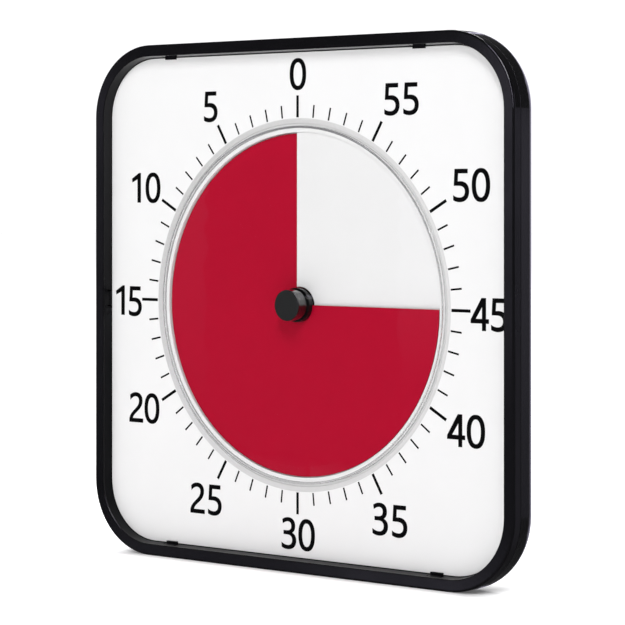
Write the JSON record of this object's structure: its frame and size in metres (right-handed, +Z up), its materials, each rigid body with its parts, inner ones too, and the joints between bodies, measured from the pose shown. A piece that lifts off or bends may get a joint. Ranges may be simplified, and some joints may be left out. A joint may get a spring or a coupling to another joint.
{
  "type": "visual countdown timer",
  "caption": "Square table or wall countdown timer: a red disc threads through a slit plate behind a clear lens as its front knob is turned.",
  "frame": {"origin": "middle of the flat bottom edge that the case stands on, in the plane of the dial's front", "axes": "+X to the right seen from the front, +Y into the case away from the viewer, +Z up; the knob turns about +Y at z = 0.1524"},
  "size_m": [0.3048, 0.073, 0.3048],
  "materials": {
    "frame_black": "polished moulded black",
    "housing_black": "moulded black",
    "dial_white": "smooth white sheet with black print",
    "lens_clear": "clear polished plastic",
    "plate_white": "smooth white",
    "disc_red": "satin red film",
    "knob_black": "glossy side, satin face",
    "hub_black": "glossy black",
    "steel": "bright steel",
    "brass": "machined brass",
    "movement_black": "moulded black",
    "cell_grey": "printed sleeve",
    "contact_nickel": "nickel plate",
    "board_green": "solder mask",
    "slider_grey": "moulded light grey",
    "sounder_black": "moulded black",
    "gear_natural": "moulded, natural colour",
    "magnet_dark": "bonded magnet",
    "copper_wire": "enamelled wire, wound"
  },
  "bodies": {
    "case": {"front_frame": "frame_black", "dial_plate": "dial_white", "lens": "lens_clear", "disc_pan": "plate_white", "slit_plate": "plate_white", "bush_nut": "brass", "movement_case": "movement_black", "movement_cover": "movement_black", "coil_winding": "copper_wire", "coil_bobbin": "plate_white", "stator": "steel", "rear_housing": "housing_black", "bay_housing": "housing_black", "battery_cell": "cell_grey", "battery_spring": "contact_nickel", "battery_plate": "contact_nickel", "circuit_board": "board_green", "switch_body": "contact_nickel", "sounder": "sounder_black", "hanger_plate": "contact_nickel", "foot_pins": "steel", "housing_screws": "steel", "bay_screws": "steel", "hanger_screws": "steel", "pan_screws": "steel", "board_screws": "steel", "cover_screws": "steel"},
    "setting_knob": {"knob": "knob_black", "spindle": "steel", "disc_hub": "hub_black", "clutch_spring": "steel", "spindle_clip": "steel"},
    "time_disc": {"red_disc": "disc_red"},
    "left_foot": {"foot_left": "housing_black"},
    "right_foot": {"foot_right": "housing_black"},
    "sound_switch": {"switch_slider": "slider_grey"},
    "door": {"battery_door": "housing_black"},
    "rotor": {"rotor_pinion": "gear_natural", "rotor_magnet": "magnet_dark"},
    "fifth_arbor": {"fifth_wheel": "gear_natural"},
    "fourth_arbor": {"fourth_wheel": "gear_natural"},
    "third_arbor": {"third_wheel": "gear_natural"},
    "centre_arbor": {"centre_wheel": "gear_natural"}
  },
  "joints": [
    {"name": "knob_turn", "type": "hinge", "parent": "case", "child": "setting_knob", "pos_m": [0, 0, 0.1524], "axis": [0, 1, 0], "range_deg": [-90, 270]},
    {"name": "disc_feed", "type": "slide", "parent": "setting_knob", "child": "time_disc", "axis": [0, 1, 0], "range_m": [-0.00085, 0.00245]},
    {"name": "left_foot_swing", "type": "hinge", "parent": "case", "child": "left_foot", "pos_m": [-0.085, 0.0208, 0], "axis": [0, 0, -1], "range_deg": [0, 90]},
    {"name": "right_foot_swing", "type": "hinge", "parent": "case", "child": "right_foot", "pos_m": [0.085, 0.0208, 0], "axis": [0, 0, 1], "range_deg": [0, 90]},
    {"name": "sound_slide", "type": "slide", "parent": "case", "child": "sound_switch", "axis": [-1, 0, 0], "range_m": [0, 0.005]},
    {"name": "door_slide", "type": "slide", "parent": "case", "child": "door", "axis": [0, 0, -1], "range_m": [0, 0.036]},
    {"name": "rotor_spin", "type": "hinge", "parent": "case", "child": "rotor", "pos_m": [0.0162, 0, 0.16183], "axis": [0, 1, 0], "continuous": true},
    {"name": "fifth_wheel_turn", "type": "hinge", "parent": "case", "child": "fifth_arbor", "pos_m": [0.00997, 0, 0.16543], "axis": [0, 1, 0], "continuous": true},
    {"name": "fourth_wheel_turn", "type": "hinge", "parent": "case", "child": "fourth_arbor", "pos_m": [0.00175, 0, 0.16842], "axis": [0, 1, 0], "continuous": true},
    {"name": "third_wheel_turn", "type": "hinge", "parent": "case", "child": "third_arbor", "pos_m": [-0.00975, 0, 0.16534], "axis": [0, 1, 0], "continuous": true},
    {"name": "centre_wheel_turn", "type": "hinge", "parent": "case", "child": "centre_arbor", "pos_m": [0, 0, 0.1524], "axis": [0, 1, 0], "continuous": true}
  ],
  "couplings": [
    {"joint": "disc_feed", "follows": "knob_turn", "m_per_rad": 0.0005093},
    {"joint": "fifth_wheel_turn", "follows": "rotor_spin", "ratio": -0.2},
    {"joint": "fourth_wheel_turn", "follows": "rotor_spin", "ratio": 0.033333},
    {"joint": "third_wheel_turn", "follows": "rotor_spin", "ratio": -0.0044444},
    {"joint": "centre_wheel_turn", "follows": "rotor_spin", "ratio": 0.00055556}
  ]
}
